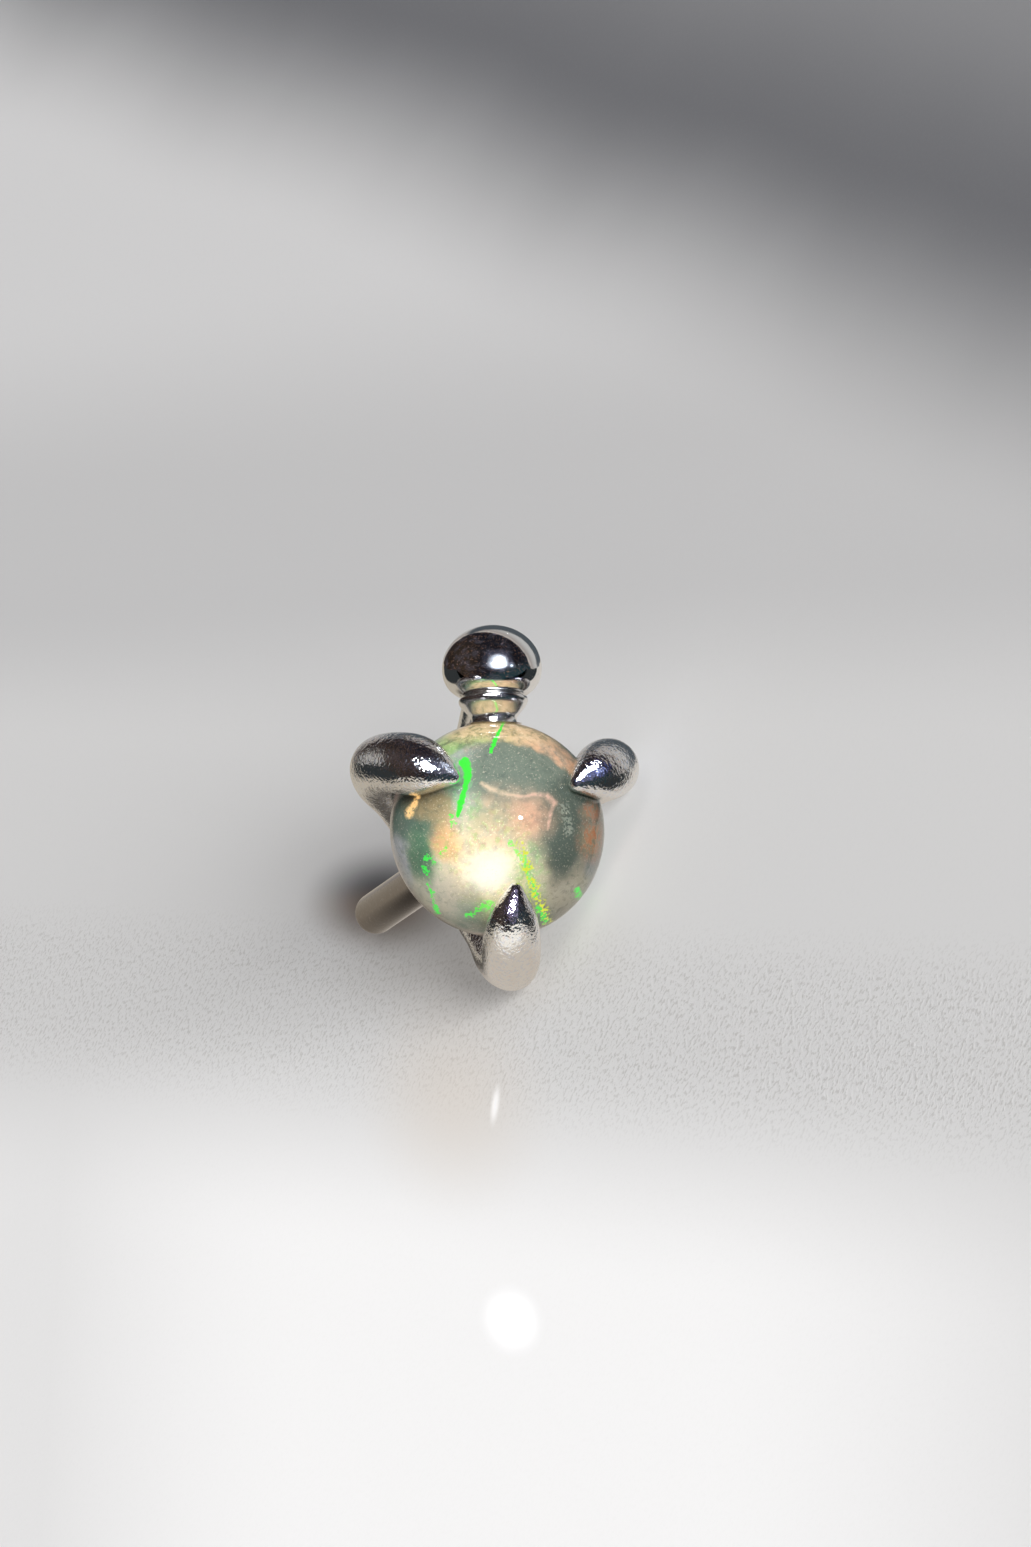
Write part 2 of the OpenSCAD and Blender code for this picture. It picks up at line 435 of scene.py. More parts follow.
@dataclass(frozen=True)
class PolishedWhiteMetal:
    """Rhodium-bright polish: a mirror with soft buffing waves, hairlines and a few small pits.

    waves and grain are how deep the broad and the fine unevenness are, relief is how much of it shows,
    sparkle is how deep and how coloured the tiny facets are that break a highlight's edge, and haze is the
    least roughness.
    """

    colour: Triple = (0.93, 0.92, 0.905)
    waves: float = 0.25
    grain: float = 0.1
    relief: float = 0.35
    sparkle: float = 0.03
    haze: float = 0.045

    def material(self, name: str, wear: float = 1.0) -> bpy.types.Material:
        """Makes the finish.

        Args:
            name: the material's name.
            wear: how strong the hairlines and pits are.

        Returns:
            The material, on Object coordinates.
        """
        made, tree = new_material(name)
        where = tree.coordinates()
        grain = tree.noise(where, 14000, 3, 0.6)
        stretched = tree.node("ShaderNodeMapping", {"vector_type": "POINT"},
                              {"Vector": where, "Rotation": (0.5, 0.3, 0.9), "Scale": (2500, 60000, 30000)})
        hairs = tree.noise(stretched, 1, 2, 0.6).rise(0.6, 0.75)
        pits = tree.noise(where, 30000, 1).rise(0.7, 0.8)
        cool, warm, deep = tree.parts(tree.noise(where, 26000, 1, colour=True))
        height = tree.noise(where, 2600, 2) * self.waves + grain * self.grain + deep * self.sparkle
        height = height - hairs * (0.02 * wear) - pits * (0.05 * wear)
        rough = self.haze + 0.05 * tree.noise(where, 5200, 2).rise(0.4, 0.75) + hairs * (0.05 * wear)
        tint = tree.layered(self.colour, (pits * 0.5, (0.55, 0.52, 0.5)),
                            (cool.rise(0.56, 0.6) * self.sparkle, (0.66, 0.76, 1.0)),
                            (warm.rise(0.62, 0.65) * self.sparkle, (1.0, 0.78, 0.70)))
        tree.surface({"Base Color": tint, "Metallic": 1.0, "Roughness": rough,
                      "Normal": tree.bump(height, self.relief, POLISH_DEPTH)})
        return made


@dataclass(frozen=True)
class ClearShell:
    """The stone's polished outside: clear, and a little less dense than crown glass."""

    density: float = 1.44

    def material(self) -> bpy.types.Material:
        """Makes the finish, with a faint unevenness left by the polish."""
        made, tree = new_material("opal_polish")
        where = tree.coordinates()
        height = tree.noise(where, 900, 2) * 0.5 + tree.noise(where, 7000, 2) * 0.03
        haze = 0.012 + 0.02 * tree.noise(where, 3000, 2).rise(0.5, 0.8)
        tint = tree.mix(tree.noise(where, 1200, 1), (0.97, 1, 0.985), (1, 0.985, 0.97))
        tree.surface({"Base Color": tint, "Transmission Weight": 1.0, "IOR": self.density, "Roughness": haze,
                      "Normal": tree.bump(height, 0.12, POLISH_DEPTH)})
        return made


def stroke(row: Row, place: Place, soft: float = 0.5) -> Value:
    """Where a straight flash is: 1 within its width of the line between its ends, fading to 0 outwards.

    Args:
        row: its start, its end and half its width at each of them.
        place: where in the picture.
        soft: how much of the width the fade takes on each side.

    Returns:
        The mask, from 0 to 1.
    """
    x0, y0, x1, y1, w0, w1 = row
    dx, dy = x1 - x0, y1 - y0
    size = dx * dx + dy * dy
    ox, oy = place[0] - x0, place[1] - y0
    along = (ox * (dx / size) + oy * (dy / size)).most(0).least(1)
    px, py = ox - along * dx, oy - along * dy
    width = w0 + along * (w1 - w0)
    return (px * px + py * py).root().fall(width * (1 - soft), width * (1 + soft))


def patch(row: Row, place: Place) -> Value:
    """Where a cloud of colour is: an ellipse with a soft edge, 1 well inside it and 0 well outside it.

    Args:
        row: its middle, its two radii, its lean in degrees and how soft its edge is.
        place: where in the picture.

    Returns:
        The mask, from 0 to 1.
    """
    middle_x, middle_y, across, high, lean, soft = row
    c, s = cos_sin(lean)
    ox, oy = place[0] - middle_x, place[1] - middle_y
    u = ox * (c / across) + oy * (s / across)
    v = oy * (c / high) - ox * (s / high)
    return (u * u + v * v).root().fall(1 - soft, 1 + soft)


def strongest(masks: Iterable[Value]) -> Value:
    """The largest of several masks at each place."""
    return reduce(Value.most, masks)


def patches(rows: list[tuple[Row, float]], place: Place) -> Value:
    """The largest of several patches, each with its own strength."""
    return strongest(patch(row, place) * strength for row, strength in rows)


# What is drawn in the stone, in stone radii in the picture. Clouds are patches with their colours, embers,
# mists and lows are patches with their strengths, and the others are strokes.
CLOUDS = [
    ((0.3, 0.52, 0.6, 0.4, 0, 0.22), (0.12, 0.145, 0.12)),
    ((0.72, 0.0, 0.3, 0.44, 0, 0.3), (0.11, 0.13, 0.11)),
    ((-0.52, 0.02, 0.14, 0.18, 0, 0.6), (0.42, 0.27, 0.15)),
    ((0.66, 0.22, 0.24, 0.26, 0, 0.4), (0.07, 0.09, 0.075)),
    ((-0.78, 0.02, 0.22, 0.3, 0, 0.4), (0.08, 0.12, 0.10)),
    ((-0.55, -0.2, 0.2, 0.3, 10, 0.4), (0.09, 0.14, 0.10)),
    ((-0.6, 0.22, 0.2, 0.14, 0, 0.4), (0.26, 0.21, 0.12)),
    ((-0.66, -0.55, 0.34, 0.5, -35, 0.35), (0.46, 0.42, 0.35)),
    ((-0.86, -0.3, 0.12, 0.25, 15, 0.4), (0.30, 0.31, 0.33)),
    ((0.62, -0.5, 0.3, 0.28, -35, 0.45), (0.42, 0.38, 0.30)),
    ((0.92, -0.28, 0.12, 0.2, -15, 0.4), (0.25, 0.27, 0.26)),
    ((0.60, -0.2, 0.16, 0.26, -15, 0.5), (0.075, 0.095, 0.08)),
    ((-0.68, -0.24, 0.12, 0.26, 8, 0.4), (0.08, 0.155, 0.10)),
    ((-0.46, -0.12, 0.12, 0.16, 20, 0.5), (0.46, 0.25, 0.13)),
    ((0.28, 0.08, 0.15, 0.17, 0, 0.8), (0.32, 0.20, 0.145)),
]
EMBERS = [((0.88, -0.1, 0.13, 0.17, 0, 0.6), 1), ((0.86, 0.16, 0.1, 0.08, 0, 0.6), 0.8)]
MISTS = [
    ((-0.3, 0.36, 0.12, 0.3, 8, 0.8), 1), ((0.28, -0.36, 0.12, 0.26, 10, 0.8), 1),
    ((-0.52, -0.22, 0.1, 0.22, -5, 0.8), 0.6), ((-0.16, -0.7, 0.2, 0.08, 12, 0.8), 0.8),
]
LOWS = [((-0.5, -0.74, 0.5, 0.3, -38, 0.5), 1), ((-0.88, -0.2, 0.16, 0.4, 10, 0.5), 0.35)]
COMMA_HEAD = (-0.315, 0.60, -0.285, 0.615, 0.03, 0.04)
COMMA = [
    (-0.285, 0.615, -0.26, 0.50, 0.04, 0.036), (-0.26, 0.50, -0.29, 0.37, 0.034, 0.02),
    (-0.29, 0.37, -0.325, 0.24, 0.02, 0.03), (-0.325, 0.24, -0.355, 0.13, 0.028, 0.016),
    (0.06, 0.955, -0.02, 0.80, 0.010, 0.014), (-0.02, 0.80, -0.055, 0.70, 0.02, 0.012),
]
SPARKS = [
    (-0.645, -0.255, -0.583, -0.24, 0.022, 0.014), (-0.583, -0.24, -0.567, -0.30, 0.014, 0.014),
    (-0.645, -0.34, -0.62, -0.40, 0.02, 0.012), (-0.614, -0.48, -0.583, -0.567, 0.012, 0.014),
    (-0.583, -0.567, -0.567, -0.64, 0.012, 0.01), (-0.56, -0.66, -0.53, -0.73, 0.012, 0.018),
    (0.118, -0.10, 0.212, -0.255, 0.016, 0.018), (0.25, -0.24, 0.29, -0.442, 0.022, 0.02),
    (0.321, -0.474, 0.352, -0.598, 0.022, 0.02), (0.368, -0.69, 0.43, -0.80, 0.022, 0.03),
    (0.71, -0.53, 0.745, -0.61, 0.02, 0.032), (-0.18, -0.72, -0.08, -0.67, 0.024, 0.04),
    (-0.28, -0.775, -0.209, -0.754, 0.014, 0.018), (-0.411, 0.13, -0.396, 0.05, 0.024, 0.018),
    (-0.785, -0.70, -0.754, -0.735, 0.02, 0.02), (-0.46, -0.16, -0.50, -0.22, 0.018, 0.014),
]
GOLDS = [(0.21, -0.14, 0.34, -0.54, 0.045, 0.05), (0.34, -0.54, 0.45, -0.80, 0.045, 0.04)]
# Painted reflection: the left claw mirrored in the stone, an orange streak near its left edge.
CLAW_REFLECTION = (-0.70, 0.32, -0.79, 0.14, 0.014, 0.036)
CREASES = [
    (-0.14, 0.42, -0.06, 0.37, 0.016, 0.024), (-0.06, 0.37, 0.1, 0.32, 0.024, 0.016),
    (0.1, 0.32, 0.253, 0.30, 0.014, 0.014), (0.253, 0.30, 0.343, 0.325, 0.014, 0.016),
    (0.343, 0.325, 0.45, 0.31, 0.016, 0.02), (0.45, 0.31, 0.515, 0.24, 0.022, 0.026),
    (0.515, 0.24, 0.483, 0.15, 0.022, 0.014), (0.483, 0.15, 0.458, 0.0, 0.016, 0.01),
]
FEATHER = (0.60, 0.2, 0.66, -0.02, 0.05, 0.03)


class Depths:
    """The places and the kinds of noise with which the layers of the stone's inside are drawn."""

    def __init__(self, tree: Tree, spot: Value) -> None:
        """Adds the nodes that the layers share.

        Args:
            tree: the material's tree.
            spot: places in stone radii along the picture's right, its up and back to the camera.
        """
        self.tree, self.spot = tree, spot
        self.x, self.y, self.z = tree.parts(spot)
        self.broad = self._stirred(9, 2, 0.5, 0.1)
        self.fine = self._stirred(26, 3, 0.6, 0.05)
        self.jagged = self._stirred(22, 2, 0.6, 0.1)
        self.front = self.z.rise(-0.1, 0.25)
        self.clots = tree.noise(spot, 8, 4, 0.6)
        self.flecks = tree.noise(spot, 15, 4, 0.65, distortion=0.6)
        self.speck = tree.noise(spot, 60, 2, 0.6)
        self.chips = tree.noise(spot, 28, 2, 0.6, distortion=1.2)

    def _stirred(self, scale: float, detail: float, rough: float, size: float) -> Place:
        """The place in the picture, moved about by noise by up to half of size each way."""
        right, up, _ = self.tree.parts(self.tree.noise(self.spot, scale, detail, rough, colour=True))
        return self.x + (right - 0.5) * size, self.y + (up - 0.5) * size


@dataclass(frozen=True)
class CrystalOpal:
    """The stone's inside: smoky teal and lavender clouds, a warm heart of painted light and green and gold fire."""

    teal: Triple = (0.11, 0.17, 0.13)
    lavender: Triple = (0.27, 0.28, 0.27)
    tan: Triple = (0.42, 0.30, 0.19)
    # cream is the colour of the painted glow of light in the heart
    cream: Triple = (0.95, 0.76, 0.42)
    salmon: Triple = (0.78, 0.47, 0.36)
    green: Triple = (0.03, 0.98, 0.04)
    gold: Triple = (0.75, 0.8, 0.05)

    def material(self, outlook: Outlook) -> bpy.types.Material:
        """Makes the finish.

        Args:
            outlook: gives the axes along which the flashes are placed.

        Returns:
            The material of the stone's inside.
        """
        made, tree = new_material("opal_fire")
        at = Depths(tree, tree.seen(outlook, STONE_R / MM_PER_M))
        lit = self._lit(at)
        under = strongest([lit["fire"], lit["core"], lit["golds"], lit["sparks"] * 0.8, lit["elsewhere"],
                           lit["crease"] * 0.6, lit["glow"] * 0.5])
        tree.surface({"Base Color": tree.mix(under, self._body(at), (0.02, 0.02, 0.015)), "Roughness": 0.5,
                      "Specular IOR Level": 0.1, "Emission Color": self._light(at, lit), "Emission Strength": 1.0})
        return made

    def _body(self, at: Depths) -> Value:
        """The plain colour: clouds, a painted refraction band on the upper rim and the crown's edge, embers, flecks
        and specks.
        """
        tree, front, flecks, (wx, wy) = at.tree, at.front, at.flecks, at.broad
        # Painted refraction: the band along the upper rim is what lies behind, seen upside down through the dome.
        rim = (wx * wx + (wy + 0.08) * (wy + 0.08)).root().rise(0.84, 0.9) * at.y.rise(0.3, 0.5) * front
        rightwards = at.fine[0].rise(-0.3, 0.4)
        band = tree.mix(rightwards, (0.22, 0.33, 0.13), (0.52, 0.31, 0.19))
        dark = tree.mix(rightwards, (0.10, 0.15, 0.07), (0.30, 0.22, 0.15))
        # Painted refraction: the tan at the crown's top edge.
        crown = at.y.rise(0.7, 0.86) * at.z.fall(0.3, 0.5) * at.x.rise(-0.6, -0.3) * 0.85
        ember = patches(EMBERS, at.fine) * front * 0.9
        return tree.layered(
            self.teal,
            (tree.noise(at.spot, 2.2, 3, 0.55).rise(0.38, 0.62), self.lavender),
            (tree.noise(at.spot, 4.5, 3, 0.6).rise(0.55, 0.72) * 0.5, self.tan),
            *((patch(row, at.broad) * front, colour) for row, colour in CLOUDS),
            # The painted refraction along the upper rim and the crown's edge.
            (rim * 0.95, tree.mix(at.clots.rise(0.42, 0.62), band, dark)),
            (crown, tree.mix(flecks.rise(0.4, 0.6), (0.56, 0.41, 0.26), (0.40, 0.31, 0.17))),
            (ember, tree.mix(flecks.rise(0.4, 0.6), (0.42, 0.17, 0.08), (0.32, 0.25, 0.16))),
            (flecks.rise(0.48, 0.68) * 0.42, (0.05, 0.08, 0.065)),
            (at.speck.rise(0.6, 0.68) * 0.4, (0.62, 0.54, 0.42)),
        )

    def _lit(self, at: Depths) -> dict[str, Value]:
        """Where each kind of lit colour is."""
        tree, x, y, front, clots = at.tree, at.x, at.y, at.front, at.clots
        half_fine = x + (at.fine[0] - x) * 0.5, y + (at.fine[1] - y) * 0.5
        # Painted light: warm, glow and core are the pool of light that the dome focuses low in the heart; core is its
        # white middle.
        warm = patch((-0.06, -0.28, 0.36, 0.44, 25, 0.6), at.broad)
        # Painted sheen: the rose cloud round the stone's glint.
        rose = patch((0.12, 0.12, 0.36, 0.26, 0, 0.5), at.broad)
        comma = strongest([stroke(row, at.fine, 0.3) for row in COMMA] + [stroke(COMMA_HEAD, at.fine, 0.25)])
        sparks = strongest(stroke(row, at.jagged, 0.3) for row in SPARKS)
        golds = strongest(stroke(row, at.jagged) for row in GOLDS)
        crease = strongest(stroke(row, half_fine, 0.9) for row in CREASES)
        return {
            "warm": warm,
            "glow": warm * (0.6 + 0.4 * clots.rise(0.35, 0.6)) * front,
            "rose": rose * (0.4 + 0.6 * clots.rise(0.38, 0.6)) * front,
            "core": patch((-0.06, -0.37, 0.19, 0.15, 20, 0.8), at.fine) * front,
            "mist": patches(MISTS, at.broad) * front * (0.15 + 0.85 * at.flecks.rise(0.42, 0.6)),
            "crease": crease * front * (0.45 + 0.4 * clots.rise(0.4, 0.55)),
            "low": patches(LOWS, at.broad) * front,
            # Painted refraction: a thin warm arc just inside the lower left rim.
            "edge": (x * x + y * y).root().rise(0.91, 0.96) * (0 - x * 0.7 - y * 0.7).rise(0.1, 0.5) * front,
            "feather": stroke(FEATHER, at.broad) * front * tree.noise(at.spot, 34, 1).rise(0.45, 0.55),
            # Painted reflection of the left claw in the stone.
            "drop": stroke(CLAW_REFLECTION, at.fine) * front * at.chips.rise(0.35, 0.5),
            "sparks": sparks * front * at.chips.rise(0.40, 0.46),
            "golds": golds * front * tree.noise(at.spot, 30, 2).rise(0.5, 0.57),
            "fire": comma * front,
            "elsewhere": tree.noise(at.spot, 5, 4, 0.7, distortion=1.5).rise(0.64, 0.68) * at.z.fall(-0.35, 0.1),
        }

    def _light(self, at: Depths, lit: dict[str, Value]) -> Value:
        """The glow of the lit colours, the broad ones first and the sharp flashes over them."""
        tree, front, glow = at.tree, at.front, lit["glow"]
        cream = tree.mix(at.flecks.rise(0.42, 0.7) * 0.8, self.cream, (0.86, 0.50, 0.26))
        crease = tree.mix(at.x.rise(0.0, 0.35), (0.86, 0.64, 0.44), self.salmon)
        smoke = tree.mix(at.clots.rise(0.4, 0.6), (0.19, 0.17, 0.13), (0.10, 0.11, 0.085))
        spark = tree.mix(glow, (0.03, 0.80, 0.06), (0.35, 0.95, 0.12))
        lime = tree.noise(at.spot, 15, 3, 0.6).rise(0.52, 0.62)
        return tree.layered(
            # Painted light: the cream glow, the rose sheen, the white core and the bright specks in the glow.
            BLACK, (glow, cream), (lit["rose"] * 0.5, (0.64, 0.35, 0.21)), (glow * lime * 0.55, (0.55, 0.72, 0.2)),
            (lit["core"], (1.15, 1.1, 0.95)), (lit["mist"] * 0.5, (0.10, 0.50, 0.12)),
            (at.speck.rise(0.6, 0.7) * lit["warm"] * front * 0.6, (1.0, 0.9, 0.7)), (lit["crease"], crease),
            # edge is the painted refraction arc along the lower left rim.
            (lit["low"] * 0.7, smoke), (lit["edge"] * 0.5, (0.42, 0.27, 0.22)),
            # drop is the painted reflection of the left claw.
            (lit["feather"] * 0.4, (0.4, 0.4, 0.34)), (lit["drop"], (0.95, 0.55, 0.2)),
            (lit["sparks"] * 0.95, spark), (lit["golds"], self.gold), (lit["fire"], self.green),
            (lit["elsewhere"] * 0.35, self.green),
        )


@dataclass(frozen=True)
class PaleFloor:
    """A honed floor: pale, faintly grained and matt, with the head's shadow, its reflections and a pool of light
    painted on.
    """

    def material(self, outlook: Outlook) -> bpy.types.Material:
        """Makes the finish, a little brighter with painted light towards the bottom of the picture and darker beyond
        its top right.
        """
        made, tree = new_material("pale_floor")
        where = tree.coordinates()
        x, y, _ = tree.parts(tree.seen(outlook, CENTIMETRE))
        grain = tree.noise(where, 16000, 3, 0.65)
        sharp = y.rise(-0.36, -0.26) * y.fall(-0.17, -0.09)
        # Painted light: the floor is brightest towards the bottom middle of the picture, a painted sheen of the light.
        lit = (0 - y).rise(0.22, 0.5) * abs(x).fall(0.2, 0.9).most(0.5)
        far = x * 0.482 + y * 0.876 + (tree.noise(where, 90, 3, 0.5) - 0.5) * 0.08
        # Painted reflections: a soft white spot of a glint and a pale streak under the head, mirrored in the floor.
        painted_reflections = patches([((0.0165, -0.541, 0.024, 0.025, 0, 0.6), 1), ((-0.002, -0.315, 0.0035, 0.016, -8, 0.8), 0.6)],
                        (x, y))
        colour = tree.layered(
            (0.675, 0.675, 0.67),
            (y.rise(0.1, 0.3), (0.57, 0.57, 0.57)),
            (y.rise(0.45, 0.75), (0.66, 0.66, 0.66)),
            # The painted pool of light towards the bottom.
            (lit, (0.995, 0.995, 0.99)),
            (far.rise(0.55, 0.92), tree.mix(far.rise(0.9, 1.2), (0.165, 0.168, 0.178), (0.27, 0.272, 0.28))),
            (grain.rise(0.52, 0.6) * (0.02 + sharp * 0.45), (0.4, 0.39, 0.37)),
            # Painted shadow: the head's soft shadow on the floor at its lower left, near black in its upper part and
            # brown below.
            (patch((-0.137, -0.088, 0.07, 0.044, 8, 0.7), (x, y)) * 0.93,
             tree.mix(y.rise(-0.1, -0.065), (0.17, 0.125, 0.095), (0.07, 0.07, 0.075))),
            # Painted shadow: a fainter brown shade below the stone.
            (patch((-0.02, -0.15, 0.12, 0.06, 12, 0.9), (x, y)) * 0.35, (0.38, 0.34, 0.29)),
            # Painted reflection: the stone's warm colour mirrored in the floor below it.
            (patch((-0.05, -0.315, 0.07, 0.075, 0, 0.95), (x, y)) * 0.45, (0.74, 0.66, 0.57)),
            (painted_reflections, (1, 1, 1)),
        )
        tree.surface({"Base Color": colour, "Roughness": 0.6, "Specular IOR Level": 0.0,
                      "Normal": tree.bump(grain, sharp * 0.22, 0.00004),
                      # The painted reflections glow a little.
                      "Emission Color": tree.mix(painted_reflections, BLACK, (0.22, 0.22, 0.22)), "Emission Strength": 1.0})
        return made


# ---- sub-assemblies


# The height over the girdle in mm below which a leaning claw leans no further
LEAN_FROM = -0.3


class Claw(Enum):
    """The three claws.

    Each has its angle round the stone in degrees, how much further its tip reaches in stone radii, how full
    it is near the tip, and how far it leans round the stone in degrees per millimetre up.
    """

    right = (27.0, 0.08, 1.06, 0.0)
    left = (150.0, 0.0, 1.1, 0.0)
    lower = (273.0, 0.0, 1.0, -8.7)


@dataclass
class Setting:
    """The soldered metal head: claws, the bead on its neck, and the hub.

    Lengths are mm, with _d for a diameter and _w for a wire's thickness. bead_low is how much of the bead's
    height lies under its widest ring, and bead_full is the power that makes that half fuller. groove is
    how deep the line between neck and bead is, and hub_ease how round the hub's back edge is.
    """

    stance: Stance
    finish: PolishedWhiteMetal
    claw_w: float = 0.7
    arm_w: float = 0.46
    tip_w: float = 0.15
    bead_d: float = 1.15
    bead_h: float = 1.0
    bead_out: float = 1.88
    bead_up: float = 0.075
    bead_low: float = 0.392
    bead_full: float = 0.84
    groove: float = 0.055
    collar_d: float = 0.8
    waist_d: float = 0.52
    hub_d: float = 0.9
    hub_middle: float = 2.0
    hub_ease: float = 0.05
    socket_d: float = 0.33
    bead_angle: float = 89.4
    steps: int = 12
    sides: int = 64

    def _wire(self, table: list[Triple]) -> np.ndarray:
        """Tube along a table of out and up in stone radii and thickness in mm, kept off the stone."""
        line = splined(table, self.steps) * (STONE_R, STONE_R, 0.5)
        return off_stone(tube(line, self.sides, 6))

    def claw(self, which: Claw) -> Piece:
        """Makes one claw with its arm, from its blunt tip over the dome down to the hub."""
        angle, reach, full, lean = which.value
        w, a, t = self.claw_w, self.arm_w, self.claw_w * full
        table = [(0.66 - reach, 0.735 + reach * 0.7, self.tip_w), (0.75 - reach * 0.8, 0.7 + reach * 0.5, t * 0.44),
                 (0.875 - reach * 0.35, 0.62 + reach * 0.25, t * 0.74), (1.03, 0.455, t * 0.93), (1.165, 0.225, w),
                 (1.225, -0.05, w * 0.97), (1.19, -0.32, w * 0.88), (1.06, -0.58, (w + a) / 2 - 0.02),
                 (0.86, -0.85, a), (0.62, -1.14, a), (0.36, -1.41, a), (0.08, -1.6, a)]
        grid = self._wire(table)
        grid = round_z(grid, angle + lean * np.maximum(grid[..., 2], LEAN_FROM))
        return shell(f"claw_{which.name}", self.stance.place(grid))

    def bead_arm(self) -> Piece:
        """Makes the arm that comes up behind the stone's edge and carries the neck."""
        a = self.arm_w
        table = [(1.25, 0.05, a * 1.16), (1.235, -0.11, a * 1.16), (1.145, -0.33, a * 1.1), (1.01, -0.57, a),
                 (0.86, -0.84, a), (0.62, -1.14, a), (0.36, -1.41, a), (0.08, -1.6, a)]
        return shell("bead_arm", self.stance.place(round_z(self._wire(table), self.bead_angle)))

    def _outward(self, name: str, outline: np.ndarray) -> Piece:
        """Turns an outline of radius and way out round the line that runs out from the stone's axis."""
        rings = turned(outline, TURNED_SIDES)
        grid = off_stone(np.stack([rings[..., 2], rings[..., 1], self.bead_up - rings[..., 0]], axis=-1))
        return shell(name, self.stance.place(round_z(grid, self.bead_angle)), 60)

    def bead(self) -> list[Piece]:
        """Makes the bead and its waisted neck.

        The bead's upper half is a half ellipse, and its lower half is a little shorter and fuller.
        """
        full, low, groove = self.bead_full, self.bead_h * self.bead_low, self.collar_d / 2 - self.groove
        start = math.acos((groove / (self.bead_d / 2)) ** (1 / full))
        groove_out = self.bead_out - low * math.sin(start) ** full
        w, foot = self.waist_d / 2, STONE_R + GAP + 0.005
        cup, flare = groove_out - foot, self.collar_d / 2 - w
        flared = [(0.07, 0.1), (0.3, 0.26), (0.58, 0.43), (0.84, 0.6), (0.98, 0.74), (1, 0.84), (0.9, 0.94)]
        neck = splined([(w + 0.045, 1.165), (w + 0.012, 1.215), (w, 1.25),
                        *((w + flare * k, foot + cup * m) for k, m in flared),
                        (groove, groove_out), (groove - 0.03, groove_out + 0.02)], 8)
        a = np.linspace(-start, math.pi / 2, 70)[:-1]
        c, d = np.cos(a), np.sin(a)
        ball = np.stack([self.bead_d / 2 * np.where(a < 0, c ** full, c),
                         self.bead_out + np.where(a < 0, -low * np.abs(d) ** full, self.bead_h / 2 * d)], axis=1)
        return [self._outward("bead", ball), self._outward("neck", neck)]

    def hub(self) -> Piece:
        """Makes the hub: a short drum with an eased back edge under a half ball, open round the pin's foot."""
        r, rim = self.hub_d / 2, self.socket_d / 2
        a = np.linspace(0, math.pi / 2, 20)[:-1]
        dome = np.stack([r * np.cos(a), -self.hub_middle + r * np.sin(a)], axis=1)
        mouth = [(rim - 0.005, -HUB_BACK + 0.06), (rim, -HUB_BACK)]
        outline = np.vstack([mouth, eased(r, -HUB_BACK, self.hub_ease, 7), dome])
        return shell("hub", self.stance.place(turned(outline, TURNED_SIDES)), 40)

    def build(self) -> list[Piece]:
        """Builds and dresses the whole setting in place of its plain solid.

        The claws were filed by hand, so they are less even than the turned bead and hub, and the solder on
        the neck is a little dull.
        """
        smooth = self.finish.material("white_metal_polish")
        uneven = replace(self.finish, grain=0.45, relief=0.8, sparkle=0.28, haze=0.035)
        filed = uneven.material("white_metal_filed")
        dull = replace(self.finish, haze=0.17).material("white_metal_solder")
        pieces = [self.claw(which) for which in Claw] + [self.bead_arm(), *self.bead(), self.hub()]
        for piece in pieces:
            piece.data.materials.append(filed if "claw" in piece.name else dull if piece.name == "neck" else smooth)
            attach(piece, "root")
            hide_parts("setting")
        return pieces


@dataclass
class Opal:
    """The stone: a clear polished shell round an inside that carries its clouds and fire."""

    outlook: Outlook
    shell_finish: ClearShell
    inside_finish: CrystalOpal
    inside: float = 0.955
    steps: int = 120
    sides: int = 128

    def _form(self, size: float) -> np.ndarray:
        """Rings of the dome and the rounded back: a half ellipse on each side of the girdle."""
        a = np.linspace(-math.pi / 2, math.pi / 2, self.steps + 1)[1:-1]
        outline = np.stack([STONE_R * np.cos(a), np.where(a > 0, DOME_H, BACK_H) * np.sin(a)], axis=1)
        return turned(outline * size, self.sides)

    def build(self) -> list[Piece]:
        """Builds and dresses the stone in place of its plain solid."""
        clear, fiery = self.shell_finish.material(), self.inside_finish.material(self.outlook)
        pieces = []
        for name, size, finish in (("opal_shell", 1.0, clear), ("opal_heart", self.inside, fiery)):
            piece = shell(name, self.outlook.stance.place(self._form(size)), ALL_SMOOTH)
            piece.data.materials.append(finish)
            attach(piece, "root")
            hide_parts("opal")
            pieces.append(piece)
        pieces[0].visible_shadow = False
        return pieces


@dataclass
class PushPin:
    """The straight plain pin behind the hub, with an eased end and a foot that narrows into the hub's socket.

    Lengths are mm, with _d for a diameter. rings is how many rings of points the shaft has.
    """

    stance: Stance
    finish: PolishedWhiteMetal
    pin_d: float = 0.5
    pin_end: float = 5.5
    bevel: float = 0.06
    foot_d: float = 0.288
    foot_tip_d: float = 0.204
    foot_h: float = 0.32
    rings: int = 30

    def build(self) -> list[Piece]:
        """Builds and dresses the pin in place of its plain solid."""
        r, top = self.pin_d / 2, -HUB_BACK - GAP
        end = eased(r, -self.pin_end, self.bevel, 8)
        up = np.linspace(-self.pin_end + 0.1, top - 0.02, self.rings)
        shaft = np.stack([np.full(self.rings, r), up], axis=1)
        foot = [(r - 0.015, top), (self.foot_d / 2, top), (self.foot_tip_d / 2, top + self.foot_h)]
        outline = np.vstack([[(0.08, -self.pin_end)], end, shaft, foot])
        pin = shell("push_pin", self.stance.place(turned(outline, TURNED_SIDES)), 40)
        # Painted shade: the pin's dark brown colour is the shade it lies in behind the stone, not its metal's own
        # colour.
        drawn = replace(self.finish, colour=(0.21, 0.175, 0.145), waves=0.1)
        pin.data.materials.append(drawn.material("pin_polish_painted_shade", 1.6))
        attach(pin, "root")
        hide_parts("pin")
        return [pin]


# ---- floor, surroundings and lights


